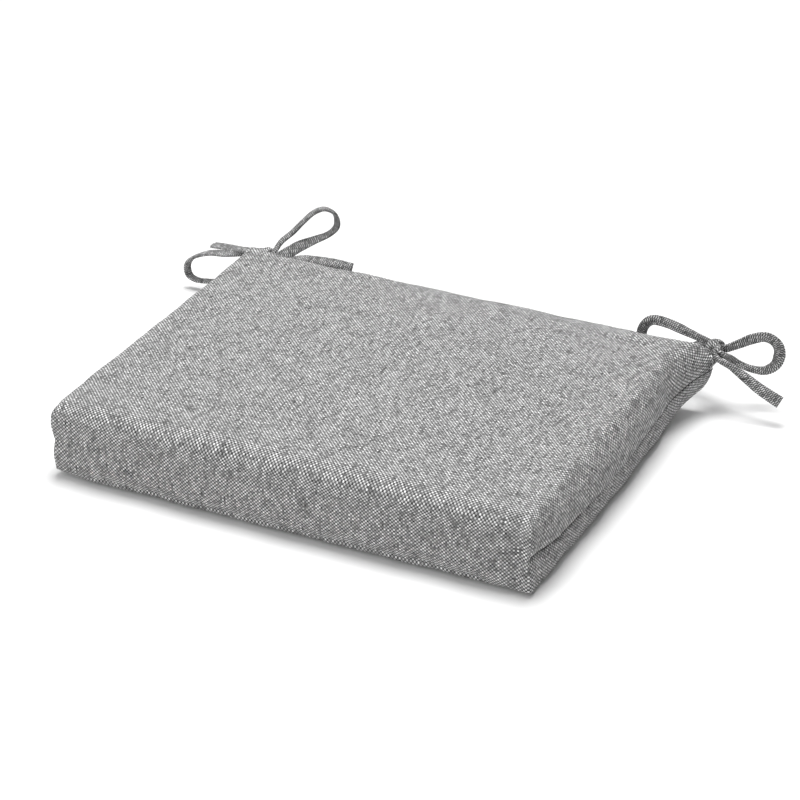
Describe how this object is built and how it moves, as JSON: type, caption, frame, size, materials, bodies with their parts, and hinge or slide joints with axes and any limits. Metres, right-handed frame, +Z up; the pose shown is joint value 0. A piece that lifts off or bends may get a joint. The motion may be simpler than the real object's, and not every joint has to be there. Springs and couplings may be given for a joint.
{
  "type": "chair seat pad",
  "caption": "Boxed foam seat pad in a grey tweed cover folded round its front, with side and back seams half-way up and pairs of fabric ties in bows at the back corners.",
  "frame": {"origin": "under the middle of the pad, on the surface that it lies on", "axes": "+X along the pad's width, to the right as seen from its front; +Y from the front to the back edge with the ties; +Z up"},
  "size_m": [0.6576, 0.4591, 0.1016],
  "materials": {
    "tweed": "matt salt-and-pepper basket weave",
    "tie_tweed": "the same weave, folded into a narrow strip",
    "thread": "grey polyester sewing thread",
    "foam": "open-cell polyurethane foam",
    "wadding": "white polyester wadding"
  },
  "bodies": {
    "root": {"foam_core": "foam", "polyester_wrap": "wadding", "cover": "tweed", "back_seam_thread": "thread", "side_seam_thread_left": "thread", "side_seam_thread_right": "thread", "corner_seam_thread_front_left": "thread", "corner_seam_thread_front_right": "thread", "corner_seam_thread_back_left": "thread", "corner_seam_thread_back_right": "thread", "left_side_tie": "tie_tweed", "left_back_tie": "tie_tweed", "right_side_tie": "tie_tweed", "right_back_tie": "tie_tweed"}
  },
  "joints": []
}
